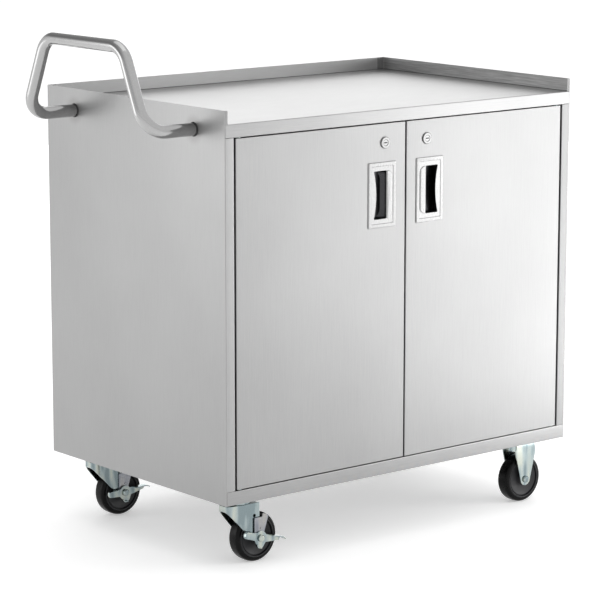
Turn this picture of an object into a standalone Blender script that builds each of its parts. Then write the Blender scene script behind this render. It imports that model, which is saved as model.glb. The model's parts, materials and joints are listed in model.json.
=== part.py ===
# Enclosed utility cart: a welded stainless cabinet with two flush doors, a raised rim on three
# sides, a tube push handle, two braked swivel casters at the handle end and two rigid casters.
# Metres, +Z up. X runs along the front, Y from the front to the back, Z from the floor.

import math

import bmesh
import bpy
from mathutils import Vector

# Driving sizes of the cabinet
width = 0.9144
depth = 0.594
body_height = 0.771
rim_height = 0.0267
sheet = 0.0012
bend_radius = 0.0006

# Clearance between pieces that touch, how far a cutter runs past what it cuts, and how close
# points lie that are one point
touch = 0.0003
overrun = 0.002
merge_distance = 0.00002

# Front frame round the door opening
stile_width = 0.022
jamb_depth = 0.024
stile_lip = 0.010
top_rail_height = 0.0263
bottom_rail_height = 0.028
rail_return_past_door = 0.003
sill_return = 0.015
rim_return = 0.007

# Flanges of the panels, shelf and pans
back_return = 0.020
bottom_flange = 0.012
down_flange = 0.020
shelf_edge_height = 0.025
shelf_edge_return = 0.012
shelf_setback = 0.034
shelf_height_share = 0.5

# Hat channel under the worktop, and the two channels that carry the casters
stiffener_width = 0.080
stiffener_height = 0.022
stiffener_flange = 0.015
stiffener_end_gap = 0.006
channel_sheet = 0.002
channel_width = 0.092
channel_flange = 0.012
channel_end_gap = 0.003

# Push handle
handle_tube_radius = 0.0127
handle_end_inset = 0.097
handle_drop = 0.0173
handle_reach = 0.114
handle_rise = 0.160
handle_lean = 0.071
handle_bend_radius = 0.048
handle_bolt_radius = 0.004
handle_bolt_reach = 0.016
handle_bolt_edge = 0.0167
bolt_head_flats = 0.013
bolt_head_height = 0.0053

# Doors
door_thickness = 0.020
hinge_gap = 0.004
centre_gap = 0.003
door_end_gap = 0.002
liner_flange = 0.006
pivot_inset = 0.010
pivot_setback = 0.008
pivot_pin_radius = 0.003
pivot_pin_in_door = 0.018
pivot_pin_in_rail = 0.007
pivot_collar_radius = 0.0065

# Stamped flush pull in each door
pull_width = 0.0735
pull_height = 0.132
pull_drop_from_lock = 0.104
pull_edge_inset = 0.0252
pull_proud = 0.0020
pull_border = 0.0055
pull_border_slope = 0.0022
pull_field_drop = 0.0009
pull_mouth_lip_side = 0.0214
pull_mouth_ramp_side = 0.0272
pull_mouth_height = 0.097
pull_mouth_radius = 0.018
pull_lip_radius = 0.002
pull_lip_bulge = 0.0060
pull_undercut = 0.0085
pull_grip_width = 0.0164
pull_grip_proud = 0.0025
pull_grip_edge_height = 0.0004
pull_grip_slope = 0.0024
pull_grip_round_share = 0.80
pull_grip_corner_share = 0.12
pull_ramp_foot = 0.0089
pull_back_clearance = 0.0031
pull_wall = 0.0012
pull_draft = 0.0015

# Cam locks
lock_edge_inset = 0.054
lock_drop = 0.038
bezel_radius = 0.012
bezel_proud = 0.0026
bezel_chamfer = 0.0010
barrel_radius = 0.0095
barrel_tail = 0.006
plug_radius = 0.0062
plug_setback = 0.0007
key_slot_length = 0.0080
key_slot_width = 0.0015
key_slot_depth = 0.006
cam_thickness = 0.0025
cam_catch = 0.008
cam_width = 0.014
cam_square = 0.007
plug_tail = 0.0015

# Casters
front_caster_inset = 0.062
back_caster_inset = 0.074
swivel_inset = 0.074
rigid_inset = 0.072
caster_trail = 0.038
wheel_radius = 0.0508
tread_width = 0.032
tread_shoulder = 0.006
hub_radius = 0.0365
hub_dish = 0.0035
hub_collar_radius = 0.0125
face_groove = 0.0022
axle_radius = 0.004
axle_head_height = 0.005
axle_head_radius = 0.0075
nut_flats = 0.013
nut_height = 0.0065
axle_end = 0.002
fork_sheet = 0.0027
wheel_side_clearance = 0.0023
plate_length = 0.092
plate_width = 0.064
plate_thickness = 0.0028
plate_corner = 0.008
plate_hole_end_inset = 0.008
plate_hole_side_inset = 0.0095
plate_hole_radius = 0.0042
crown_clearance = 0.0185
race_height = 0.0135
race_radius = 0.027
race_bore = 0.012
race_lip = 0.003
nose_reach = 0.038
nose_bend_radius = 0.0085
nose_narrowing = 0.0042
fork_nose_drop = 0.007
leg_crease_from_axle = 0.034
leg_crease_setback = 0.024
leg_crease_inset = 0.0025
leg_back_rise = 0.0155
leg_front_rise = 0.026
leg_front_from_axle = 0.0015
leg_tip_radius = 0.013
leg_edge_radius = 0.014
leg_hole_radius = 0.0037
leg_hole_from_axle = 0.0112
leg_hole_rise = 0.0465
kingpin_radius = 0.0055
kingpin_head_radius = 0.0105
kingpin_head_height = 0.0035
rigid_leg_shoulder = 0.0295
rigid_leg_shoulder_rise = 0.061
rigid_leg_shoulder_radius = 0.020
rigid_leg_top = 0.0215
rigid_leg_tip = 0.0140
rigid_arch_radius = 0.012

# Side-lock brakes on the swivel casters
brake_plate_thickness = 0.002
brake_travel = 0.0012
brake_plate_low_radius = 0.011
brake_plate_back = 0.0133
brake_plate_rise = 0.042
brake_plate_front = 0.022
brake_plate_front_rise = 0.0445
brake_hook_from_axle = 0.0065
brake_hook_rise = 0.0495
brake_tab_width = 0.0065
brake_tab_height = 0.0055
brake_tab_drop = 0.0065
brake_tab_inset = 0.002
brake_corner = 0.002
brake_stop_radius = 0.0023
brake_stop_proud = 0.0012
brake_stop_from_axle = 0.003
brake_stop_rise = 0.0187
lever_thickness = 0.0025
lever_body_radius = 0.0145
lever_hump_half_angle = math.radians(52.0)
lever_waist = 0.014
lever_ear_height = 0.0135
lever_ear_rise = 0.0025
lever_back_reach = 0.044
lever_front_reach = 0.048
lever_front_taper = 0.004
lever_foot_drop = 0.020
lever_foot_half = 0.0075
lever_foot_lean = 0.0015
lever_corner = 0.0045
lever_lip_reach = 0.0045
lever_lip_share = 0.45
tread_sheet = 0.002
tread_start = 0.021
back_tread_reach = 0.006
front_tread_reach = 0.012
front_tread_run = 0.008
front_tread_drop = 0.004
released_lever_turn = math.radians(14.0)
lever_travel = math.radians(16.0)

# How finely round shapes are cut into facets
arc_steps = 2
round_steps = 18
small_round_steps = 12
bolt_hole_steps = 8
tube_steps = 14
wheel_steps = 24
sharp_angle = math.radians(35)

# Heights from the floor, and the rest of the places that follow from the sizes above
crown_top = wheel_radius + wheel_radius + crown_clearance + fork_sheet
race_top = crown_top + touch + race_height
plate_bottom = race_top + touch
plate_top = plate_bottom + plate_thickness
underside_height = plate_top + touch
rim_top = underside_height + body_height
worktop_top = rim_top - rim_height
door_opening_top = worktop_top - top_rail_height
floor_top = underside_height + bottom_rail_height
shelf_top = floor_top + (worktop_top - floor_top) * shelf_height_share
inside_left = sheet + touch
inside_right = width - inside_left
inside_back = depth - sheet - touch
door_bottom = floor_top + door_end_gap
door_top = door_opening_top - door_end_gap
door_width = (width - centre_gap) / 2 - stile_width - hinge_gap
door_front = -pivot_setback
door_back = door_front + door_thickness
hinge_edge = -pivot_inset
free_edge = door_width - pivot_inset
pivot_x = stile_width + hinge_gap + pivot_inset
lock_place = free_edge - lock_edge_inset
lock_height = door_top - lock_drop
cam_length = lock_drop + door_end_gap + cam_catch
barrel_end = door_thickness + barrel_tail
pull_place = free_edge - pull_edge_inset - pull_width / 2
pull_centre_height = lock_height - pull_drop_from_lock
pull_depth = door_thickness - sheet - pull_wall - pull_back_clearance
rail_return = door_thickness + rail_return_past_door
handle_ends = (handle_end_inset, depth - handle_end_inset)
handle_height = worktop_top - handle_drop
worktop_flange = handle_drop + handle_bolt_edge
fork_half_width = tread_width / 2 + wheel_side_clearance + fork_sheet
lever_inner_face = -fork_half_width - touch - brake_travel - brake_plate_thickness - touch
handle_overhang = handle_reach + handle_tube_radius
front_overhang = max(bezel_proud, pull_proud, pull_grip_proud)


def finish(name, colour, roughness, metallic):
    """A plain material with the colour and gloss that the piece has in the photograph."""
    material = bpy.data.materials.new(name)
    material.use_nodes = True
    shader = material.node_tree.nodes["Principled BSDF"]
    shader.inputs["Base Color"].default_value = (*colour, 1.0)
    shader.inputs["Roughness"].default_value = roughness
    shader.inputs["Metallic"].default_value = metallic
    material.diffuse_color = (*colour, 1.0)
    return material


# Outlines: lists of (u, v) points in the plane that a shape is drawn on

def turned_corner(before, corner, after, radius, steps):
    """The points of a round corner between two straight edges."""
    to_before = (before - corner).normalized()
    to_after = (after - corner).normalized()
    half_angle = to_before.angle(to_after) / 2
    reach = radius / math.tan(half_angle)
    start = corner + to_before * reach
    bisector = (to_before + to_after).normalized()
    centre = corner + bisector * (radius / math.sin(half_angle))
    first = start - centre
    last = corner + to_after * reach - centre
    sweep = first.angle(last)
    points = []
    for step in range(steps + 1):
        share = step / steps
        weight_first = math.sin((1 - share) * sweep) / math.sin(sweep)
        weight_last = math.sin(share * sweep) / math.sin(sweep)
        points.append(centre + first * weight_first + last * weight_last)
    return points


def rounded(corners, radii, steps=arc_steps):
    """A closed outline whose corners have the given radii; a radius of zero stays sharp."""
    corners = [Vector(corner) for corner in corners]
    outline = []
    for index, corner in enumerate(corners):
        if radii[index] == 0:
            outline.append(corner)
            continue
        before = corners[index - 1]
        after = corners[(index + 1) % len(corners)]
        outline += turned_corner(before, corner, after, radii[index], steps)
    return outline


def rectangle(u_low, u_high, v_low, v_high, radius=0):
    corners = [(u_low, v_low), (u_high, v_low), (u_high, v_high), (u_low, v_high)]
    return rounded(corners, [radius] * len(corners))


def circle(u, v, radius, steps=round_steps):
    turns = [2 * math.pi * step / steps for step in range(steps)]
    return [Vector((u + radius * math.cos(turn), v + radius * math.sin(turn))) for turn in turns]


def mirrored(outline, sign):
    """The outline itself, or turned over left to right where sign is -1."""
    return [Vector((point[0] * sign, point[1])) for point in outline]


def bent_sheet(path, gauge, inner_radius=bend_radius):
    """The section of a bent sheet whose outer face follows path and lies to the path's right."""
    path = [Vector(point) for point in path]
    headings = [(after - before).normalized() for before, after in zip(path, path[1:])]
    inward = [Vector((-heading.y, heading.x)) for heading in headings]
    outer = [path[0]]
    inner = [path[0] + inward[0] * gauge]
    for index in range(1, len(path) - 1):
        corner = path[index]
        mitre = inward[index - 1] + inward[index]
        inner_corner = corner + mitre * (gauge / (1 + inward[index - 1].dot(inward[index])))
        turns_left = headings[index - 1].cross(headings[index]) > 0
        outer_radius = inner_radius + (gauge if turns_left else 0)
        far_radius = inner_radius + (0 if turns_left else gauge)
        before, after = corner - headings[index - 1], corner + headings[index]
        outer += turned_corner(before, corner, after, outer_radius, arc_steps)
        shift = inner_corner - corner
        inner += turned_corner(before + shift, inner_corner, after + shift, far_radius, arc_steps)
    outer.append(path[-1])
    inner.append(path[-1] + inward[-1] * gauge)
    return outer + inner[::-1]


# Solids

def empty(name, location, parent=None):
    """A frame that pieces hang from, placed on the axis that they turn about."""
    frame = bpy.data.objects.new(name, None)
    frame.empty_display_size = sheet
    frame.location = location
    frame.parent = parent
    bpy.context.scene.collection.objects.link(frame)
    return frame


def add_object(name, mesh_builder, material, parent):
    """Turns a finished bmesh into an object with its faces pointing out."""
    bmesh.ops.recalc_face_normals(mesh_builder, faces=mesh_builder.faces[:])
    mesh = bpy.data.meshes.new(name)
    mesh_builder.to_mesh(mesh)
    mesh_builder.free()
    if material is not None:
        mesh.materials.append(material)
    piece = bpy.data.objects.new(name, mesh)
    piece.parent = parent
    bpy.context.scene.collection.objects.link(piece)
    return piece


def plane_point(plane, u, v, w):
    """A point drawn on a plane at (u, v), at the distance w along the plane's normal axis."""
    return {"XY": (u, v, w), "XZ": (u, w, v), "YZ": (w, u, v)}[plane]


def loft(name, rings, material, parent):
    """A solid skin through rings of points, closed by a face at each end."""
    builder = bmesh.new()
    loops = [[builder.verts.new(point) for point in ring] for ring in rings]
    for loop, following in zip(loops, loops[1:]):
        for index in range(len(loop)):
            neighbour = (index + 1) % len(loop)
            builder.faces.new((loop[index], loop[neighbour], following[neighbour], following[index]))
    builder.faces.new(loops[0])
    builder.faces.new(loops[-1])
    return add_object(name, builder, material, parent)


def prism(name, outline, plane, start, end, material, parent):
    """An outline drawn on a plane and extruded from start to end."""
    builder = bmesh.new()
    base = [builder.verts.new(plane_point(plane, point[0], point[1], start)) for point in outline]
    face = builder.faces.new(base)
    swept = bmesh.ops.extrude_face_region(builder, geom=[face])["geom"]
    moved = [element for element in swept if isinstance(element, bmesh.types.BMVert)]
    travel = Vector(plane_point(plane, 0, 0, end - start))
    bmesh.ops.translate(builder, verts=moved, vec=travel)
    return add_object(name, builder, material, parent)


def box(name, low, high, material, parent):
    outline = rectangle(low[0], high[0], low[1], high[1])
    return prism(name, outline, "XY", low[2], high[2], material, parent)


def turned(name, profile, axis, material, parent, steps=round_steps, closed=False):
    """A profile of (radius, height) points spun about the Y or Z axis of its parent."""
    builder = bmesh.new()
    verts = []
    for radius, height in profile:
        point = (radius, height, 0) if axis == "Y" else (radius, 0, height)
        verts.append(builder.verts.new(point))
    edges = [builder.edges.new(pair) for pair in zip(verts, verts[1:])]
    if closed:
        edges.append(builder.edges.new((verts[-1], verts[0])))
    direction = (0, 1, 0) if axis == "Y" else (0, 0, 1)
    bmesh.ops.spin(builder, geom=verts + edges, cent=(0, 0, 0), axis=direction,
                   angle=2 * math.pi, steps=steps, use_merge=True)
    bmesh.ops.remove_doubles(builder, verts=builder.verts[:], dist=merge_distance)
    piece = add_object(name, builder, material, parent)
    piece.data.shade_smooth()
    piece.data.set_sharp_from_angle(angle=sharp_angle)
    return piece


def shape_with(piece, tool, operation):
    """Cuts piece by tool, joins it on, or keeps what the two share."""
    tool.hide_render = True
    tool.display_type = "WIRE"
    modifier = piece.modifiers.new(tool.name, "BOOLEAN")
    modifier.operation = operation
    modifier.object = tool
    return piece


def cut(piece, tool):
    return shape_with(piece, tool, "DIFFERENCE")


def join_on(piece, tool):
    return shape_with(piece, tool, "UNION")


def keep_shared(piece, tool):
    return shape_with(piece, tool, "INTERSECT")


def drill(piece, plane, u, v, radius, start, end, steps=small_round_steps):
    """A round hole through piece, square to the plane that it is drawn on."""
    name = piece.name + "_hole_" + str(len(piece.modifiers))
    return cut(piece, prism(name, circle(u, v, radius, steps), plane, start, end, None, piece.parent))


# Cabinet

def side_panel(name, left, steel, cabinet):
    """Side sheet with its front stile and jamb, rear return, bottom flange and raised rim."""
    sign = 1 if left else -1
    frame = cabinet if left else empty(name + "_frame", (width, 0, 0), cabinet)
    path = [(back_return, depth), (0, depth), (0, 0), (stile_width, 0),
            (stile_width, jamb_depth), (stile_width - stile_lip, jamb_depth)]
    outline = mirrored(bent_sheet(path, sheet), sign)
    panel = prism(name, outline, "XY", underside_height, rim_top, steel, frame)

    front_reach = jamb_depth + overrun
    notches = {"sill": (sheet, underside_height - overrun, floor_top + touch),
               "rail": (sheet, door_opening_top - touch, worktop_top + touch),
               "rim": (rim_return, worktop_top, rim_top + overrun)}
    for notch, (start, low, high) in notches.items():
        shape = mirrored(rectangle(start, stile_width + overrun, -overrun, front_reach), sign)
        cut(panel, prism(name + "_" + notch + "_notch", shape, "XY", low, high, None, frame))

    strip = mirrored(rectangle(sheet / 2, bottom_flange, jamb_depth, depth - sheet / 2), sign)
    join_on(panel, prism(name + "_flange", strip, "XY", underside_height,
                         underside_height + sheet, None, frame))
    if left:
        for y in handle_ends:
            drill(panel, "YZ", y, handle_height, handle_bolt_radius + touch,
                  -overrun, sheet + overrun)
    return panel


def back_panel(steel, cabinet):
    path = [(depth - bottom_flange, underside_height), (depth, underside_height), (depth, rim_top)]
    return prism("back_panel", bent_sheet(path, sheet), "YZ",
                 back_return + touch, width - back_return - touch, steel, cabinet)


def pan(name, path, flange_front, top, flange_height, steel, cabinet):
    """A bent sheet across the cabinet with a turned-down flange along each side."""
    piece = prism(name, bent_sheet(path, sheet), "YZ", inside_left, inside_right, steel, cabinet)
    for side, low in (("left", inside_left), ("right", inside_right - sheet)):
        flange = box(name + "_" + side + "_flange", (low, flange_front, top - flange_height),
                     (low + sheet, inside_back, top - sheet / 2), None, cabinet)
        join_on(piece, flange)
    return piece


def worktop(steel, cabinet):
    path = [(inside_back, worktop_top - worktop_flange), (inside_back, worktop_top), (0, worktop_top),
            (0, door_opening_top), (rail_return, door_opening_top)]
    piece = pan("worktop", path, jamb_depth, worktop_top, worktop_flange, steel, cabinet)
    for x in (pivot_x, width - pivot_x):
        drill(piece, "XY", x, pivot_setback, pivot_pin_radius + touch,
              door_opening_top - overrun, door_opening_top + sheet + overrun)
    for y in handle_ends:
        drill(piece, "YZ", y, handle_height, handle_bolt_radius + touch,
              inside_left - overrun, inside_left + sheet + overrun)
    return piece


def floor_pan(steel, cabinet):
    path = [(inside_back, floor_top - down_flange), (inside_back, floor_top), (0, floor_top),
            (0, underside_height), (sill_return, underside_height)]
    piece = pan("floor_pan", path, jamb_depth, floor_top, down_flange, steel, cabinet)
    for x in (pivot_x, width - pivot_x):
        drill(piece, "XY", x, pivot_setback, pivot_pin_radius + touch,
              floor_top - sheet - overrun, floor_top + overrun)
    return piece


def middle_shelf(steel, cabinet):
    edge_bottom = shelf_top - shelf_edge_height
    path = [(inside_back, shelf_top - down_flange), (inside_back, shelf_top),
            (shelf_setback, shelf_top), (shelf_setback, edge_bottom),
            (shelf_setback + shelf_edge_return, edge_bottom)]
    return pan("middle_shelf", path, shelf_setback + sheet, shelf_top, down_flange, steel, cabinet)


def worktop_stiffener(steel, cabinet):
    """Hat channel along the middle of the worktop's underside."""
    top = worktop_top - sheet - touch
    low = top - stiffener_height
    near = (depth - stiffener_width) / 2
    far = near + stiffener_width
    path = [(near - stiffener_flange, top - sheet), (near, top - sheet), (near, low),
            (far, low), (far, top - sheet), (far + stiffener_flange, top - sheet)]
    start = inside_left + sheet + stiffener_end_gap
    return prism("worktop_stiffener", bent_sheet(path, sheet), "YZ", start, width - start,
                 steel, cabinet)


def caster_channel(name, centre, steel, cabinet):
    """Channel from front to back under the floor, with the caster plates bolted to its web."""
    top = floor_top - sheet - touch
    near, far = centre - channel_width / 2, centre + channel_width / 2
    path = [(near - channel_flange, top - channel_sheet), (near, top - channel_sheet),
            (near, underside_height), (far, underside_height),
            (far, top - channel_sheet), (far + channel_flange, top - channel_sheet)]
    return prism(name, bent_sheet(path, channel_sheet), "XZ", sill_return + channel_end_gap,
                 depth - bottom_flange - channel_end_gap, steel, cabinet)


# Push handle

def push_handle(steel, cabinet):
    """Round tube: out from the side, up and inwards, and across as the grip."""
    front, back = handle_ends
    low = handle_height
    high = low + handle_rise
    corners = [(-touch, front, low), (-handle_reach, front, low),
               (-handle_reach, front + handle_lean, high), (-handle_reach, back - handle_lean, high),
               (-handle_reach, back, low), (-touch, back, low)]
    corners = [Vector(corner) for corner in corners]
    centreline = [corners[0]]
    for before, corner, after in zip(corners, corners[1:], corners[2:]):
        centreline += turned_corner(before, corner, after, handle_bend_radius, 2 * arc_steps)
    centreline.append(corners[-1])

    rings = []
    side = Vector((0, 0, 1))
    for index, point in enumerate(centreline):
        ahead = centreline[min(index + 1, len(centreline) - 1)]
        behind = centreline[max(index - 1, 0)]
        heading = (ahead - behind).normalized()
        side = (side - heading * side.dot(heading)).normalized()
        across = heading.cross(side)
        offsets = circle(0, 0, handle_tube_radius, tube_steps)
        rings.append([point + side * offset.x + across * offset.y for offset in offsets])
    handle = loft("push_handle", rings, steel, cabinet)
    handle.data.shade_smooth()
    handle.data.set_sharp_from_angle(angle=sharp_angle)
    for y in (front, back):
        drill(handle, "YZ", y, low, handle_bolt_radius + touch,
              -handle_bolt_reach - overrun, overrun)
    return handle


def handle_bolt(name, y, zinc, cabinet):
    """Hexagon bolt through the side panel into the end of the handle tube."""
    frame = empty(name + "_frame", (0, y, handle_height), cabinet)
    head_radius = bolt_head_flats / math.sqrt(3)
    head_start = inside_left + sheet + touch
    bolt = prism(name, circle(0, 0, head_radius, 6), "YZ", head_start,
                 head_start + bolt_head_height, zinc, frame)
    shank = prism(name + "_shank", circle(0, 0, handle_bolt_radius, small_round_steps), "YZ",
                  -handle_bolt_reach, head_start + bolt_head_height / 2, None, frame)
    return join_on(bolt, shank)


# Doors. Places are measured from the pivot axis towards the door's free edge.

def door_skin(name, sign, steel, hinge):
    """Outer door pan: front sheet with a return along each of its four edges."""
    path = [(hinge_edge, door_back), (hinge_edge, door_front),
            (free_edge, door_front), (free_edge, door_back)]
    skin = prism(name, mirrored(bent_sheet(path, sheet), sign), "XY", door_bottom, door_top,
                 steel, hinge)
    inner = mirrored(rectangle(hinge_edge + sheet / 2, free_edge - sheet / 2,
                               door_front + sheet / 2, door_back), sign)
    join_on(skin, prism(name + "_top_return", inner, "XY", door_top - sheet, door_top, None, hinge))
    join_on(skin, prism(name + "_bottom_return", inner, "XY", door_bottom, door_bottom + sheet,
                        None, hinge))
    for low in (door_bottom, door_top - sheet):
        drill(skin, "XY", 0, 0, pivot_pin_radius + touch, low - overrun, low + sheet + overrun)
    drill(skin, "XZ", sign * lock_place, lock_height, barrel_radius + touch,
          door_front - overrun, door_front + sheet + overrun, round_steps)
    mouth = pull_outline(pull_wall + touch, pull_wall + touch + pull_undercut, 0)
    mouth = placed_pull(mouth, sign)
    cut(skin, prism(name + "_pull_opening", mouth, "XZ", door_front - overrun,
                    door_front + sheet + overrun, None, hinge))
    return skin


def door_liner(name, sign, steel, hinge):
    """Inner door panel, whose short flanges sit inside the returns of the skin."""
    near, far = hinge_edge + sheet + touch, free_edge - sheet - touch
    low, high = door_bottom + sheet + touch, door_top - sheet - touch
    flange_front = door_back - liner_flange
    path = [(far, flange_front), (far, door_back), (near, door_back), (near, flange_front)]
    liner = prism(name, mirrored(bent_sheet(path, sheet), sign), "XY", low, high, steel, hinge)
    inner = mirrored(rectangle(near + sheet / 2, far - sheet / 2, flange_front,
                               door_back - sheet / 2), sign)
    join_on(liner, prism(name + "_top_flange", inner, "XY", high - sheet, high, None, hinge))
    join_on(liner, prism(name + "_bottom_flange", inner, "XY", low, low + sheet, None, hinge))
    drill(liner, "XZ", sign * lock_place, lock_height, barrel_radius + touch,
          door_back - sheet - overrun, door_back + overrun, round_steps)
    return liner


def pivot_pin(name, door_end, rail_face, upward, zinc, hinge):
    """Turned pin on the hinge axis, with a collar that fills the gap between door and rail."""
    step = 1 if upward else -1
    rail_end = rail_face + step * pivot_pin_in_rail
    profile = [(0, door_end - step * pivot_pin_in_door),
               (pivot_pin_radius, door_end - step * pivot_pin_in_door),
               (pivot_pin_radius, door_end + step * touch),
               (pivot_collar_radius, door_end + step * touch),
               (pivot_collar_radius, rail_face - step * touch),
               (pivot_pin_radius, rail_face - step * touch),
               (pivot_pin_radius, rail_end), (0, rail_end)]
    return turned(name, profile, "Z", zinc, hinge, small_round_steps)


# Flush pull: a stamped plate with an upright mouth. One side of the mouth is a curved lip, and
# the other the straight edge of a raised D-shaped grip. Behind the grip the pocket's side ramps
# down to its floor, so that the fingers can hook behind it.

def pull_outline(grow, lip_shift, ramp_shift, bulge=0, ramp_radius=pull_mouth_radius):
    """The pocket's outline, grown all round, with its lip side and ramp side moved outwards."""
    lip = -pull_mouth_lip_side - lip_shift
    ramp = pull_mouth_ramp_side + grow + ramp_shift
    half = pull_mouth_height / 2 + grow
    outline = rounded([(lip, -half), (ramp, -half), (ramp, half), (lip, half)],
                      [pull_lip_radius, ramp_radius, ramp_radius, pull_lip_radius],
                      2 * arc_steps)
    lip_steps = 4 * arc_steps
    reach = half - pull_lip_radius
    for step in range(1, lip_steps):
        share = 1 - 2 * step / lip_steps
        outline.append(Vector((lip + bulge * (1 - share * share), reach * share)))
    return outline


def grip_outline(inset):
    """The grip's D-shaped outline, a little smaller all round by the given inset."""
    near = pull_mouth_ramp_side - pull_grip_width + touch + inset
    far = pull_mouth_ramp_side - inset
    half = pull_mouth_height / 2 - inset
    outer = (far - near) * pull_grip_round_share
    inner = (far - near) * pull_grip_corner_share
    return rounded([(near, -half), (far, -half), (far, half), (near, half)],
                   [inner, outer, outer, inner], 2 * arc_steps)


def placed_pull(outline, sign):
    return [Vector((sign * (pull_place + point[0]), pull_centre_height + point[1]))
            for point in outline]


def pull_rings(levels, sign):
    """Rings of the pull at depths measured from the door's face."""
    rings = []
    for outline, level in levels:
        rings.append([plane_point("XZ", point[0], point[1], door_front + level)
                      for point in placed_pull(outline, sign)])
    return rings


def door_pull(name, sign, steel, hinge):
    def plate(inset):
        half_width, half_height = pull_width / 2 - inset, pull_height / 2 - inset
        return rectangle(-half_width, half_width, -half_height, half_height, pull_border_slope)

    back = -touch
    border_end = pull_border_slope + pull_border
    plate_levels = [(plate(0), back), (plate(0), -pull_proud / 2),
                    (plate(pull_border_slope), -pull_proud), (plate(border_end), -pull_proud),
                    (plate(border_end + pull_field_drop), -pull_proud + pull_field_drop)]
    pull = loft(name, pull_rings(plate_levels, sign), steel, hinge)

    wall_front = pull_outline(pull_wall, pull_wall + pull_undercut, 0)
    wall_back = pull_outline(pull_wall - pull_draft, pull_wall + pull_undercut,
                             pull_ramp_foot - pull_mouth_ramp_side)
    tub_levels = [(wall_front, back - touch), (wall_front, pull_wall + touch),
                  (wall_back, pull_depth + pull_wall)]
    join_on(pull, loft(name + "_tub", pull_rings(tub_levels, sign), None, hinge))

    field = pull_field_drop - pull_proud
    grip_levels = [(grip_outline(0), field + touch),
                   (grip_outline(0), field - pull_grip_edge_height),
                   (grip_outline(pull_grip_slope), -pull_grip_proud)]
    join_on(pull, loft(name + "_grip", pull_rings(grip_levels, sign), None, hinge))

    mouth = pull_outline(0, 0, -pull_grip_width, pull_lip_bulge, pull_lip_radius)
    under_lip = pull_outline(-touch, pull_undercut, 0)
    floor = pull_outline(-pull_draft, pull_undercut, pull_ramp_foot - pull_mouth_ramp_side)
    pocket_levels = [(mouth, -pull_proud - overrun), (mouth, touch), (under_lip, 2 * touch),
                     (floor, pull_depth)]
    return cut(pull, loft(name + "_pocket", pull_rings(pocket_levels, sign), None, hinge))


# Cam locks

def lock_barrel(name, chrome, lock):
    """Chromed bezel in front of the door, with the barrel that runs through both door sheets."""
    front = -bezel_proud
    bore = plug_radius + touch
    profile = [(bore, front), (bezel_radius - bezel_chamfer, front),
               (bezel_radius, front + bezel_chamfer), (bezel_radius, -touch),
               (barrel_radius, -touch), (barrel_radius, barrel_end), (bore, barrel_end)]
    return turned(name, profile, "Y", chrome, lock, closed=True)


def lock_plug(name, chrome, lock):
    """Plug with its key slot, and the square tail that drives the cam."""
    front = plug_setback - bezel_proud
    plug = turned(name, [(0, front), (plug_radius, front), (plug_radius, barrel_end),
                         (0, barrel_end)], "Y", chrome, lock)
    tail_end = barrel_end + touch + cam_thickness + plug_tail
    half = cam_square / 2
    join_on(plug, prism(name + "_tail", rectangle(-half, half, -half, half), "XZ",
                        barrel_end - overrun, tail_end, None, lock))
    slot = rectangle(-key_slot_length / 2, key_slot_length / 2, -key_slot_width / 2,
                     key_slot_width / 2)
    return cut(plug, prism(name + "_key_slot", slot, "XZ", front - overrun,
                           front + key_slot_depth, None, lock))


def lock_cam(name, sign, zinc, lock):
    """Flat cam that lies level when unlocked and points up behind the top rail when locked."""
    start = barrel_end + touch
    half = cam_width / 2
    outline = rounded([(-cam_length, -half), (half, -half), (half, half), (-cam_length, half)],
                      [half / 2, half / 2, half / 2, half / 2])
    cam = prism(name, mirrored(outline, sign), "XZ", start, start + cam_thickness, zinc, lock)
    hole = cam_square / 2 + touch
    return cut(cam, prism(name + "_square_hole", rectangle(-hole, hole, -hole, hole), "XZ",
                          start - overrun, start + cam_thickness + overrun, None, lock))


def door(side, sign, finishes, cabinet):
    steel, pull_steel, chrome, zinc = (finishes[name] for name in
                                       ("brushed_steel", "pull_steel", "chrome", "zinc"))
    x = pivot_x if sign > 0 else width - pivot_x
    hinge = empty(side + "_door_hinge", (x, pivot_setback, 0), cabinet)
    door_skin(side + "_door_skin", sign, steel, hinge)
    door_liner(side + "_door_liner", sign, steel, hinge)
    door_pull(side + "_door_pull", sign, pull_steel, hinge)
    pivot_pin(side + "_door_upper_pin", door_top, door_opening_top, True, zinc, hinge)
    pivot_pin(side + "_door_lower_pin", door_bottom, floor_top, False, zinc, hinge)
    lock = empty(side + "_lock_axis", (sign * lock_place, door_front, lock_height), hinge)
    lock_barrel(side + "_lock_barrel", chrome, lock)
    lock_plug(side + "_lock_plug", chrome, lock)
    lock_cam(side + "_lock_cam", sign, zinc, lock)


# Casters. Each wheel turns about an axle along Y, at the height of the wheel's radius.

def wheel(name, rubber, nylon, axle):
    half = tread_width / 2
    shoulder = half - tread_shoulder
    tip = wheel_radius - tread_shoulder
    bore = axle_radius + touch
    face = half - face_groove
    tread = [(hub_radius + touch, -face), (hub_radius + face_groove, -half)]
    arc = [math.pi / 2 * step / arc_steps for step in range(arc_steps + 1)]
    tread += [(tip + tread_shoulder * math.sin(turn), -shoulder - tread_shoulder * math.cos(turn))
              for turn in arc]
    tread += [(radius, -height) for radius, height in reversed(tread)]
    turned(name + "_tyre", tread, "Y", rubber, axle, wheel_steps, closed=True)

    dish = half - hub_dish
    core = [(bore, -half - touch), (hub_collar_radius, -half - touch), (hub_collar_radius, -dish),
            (hub_radius - face_groove, -dish), (hub_radius, -face)]
    core += [(radius, -height) for radius, height in reversed(core)]
    turned(name + "_core", core, "Y", nylon, axle, wheel_steps, closed=True)


def top_plate(name, top, zinc, frame):
    """Mounting plate with a bolt hole near each corner."""
    half_width, half_length = plate_width / 2, plate_length / 2
    outline = rectangle(-half_width, half_width, -half_length, half_length, plate_corner)
    return prism(name, outline, "XY", top - plate_thickness, top, zinc, frame)


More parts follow.
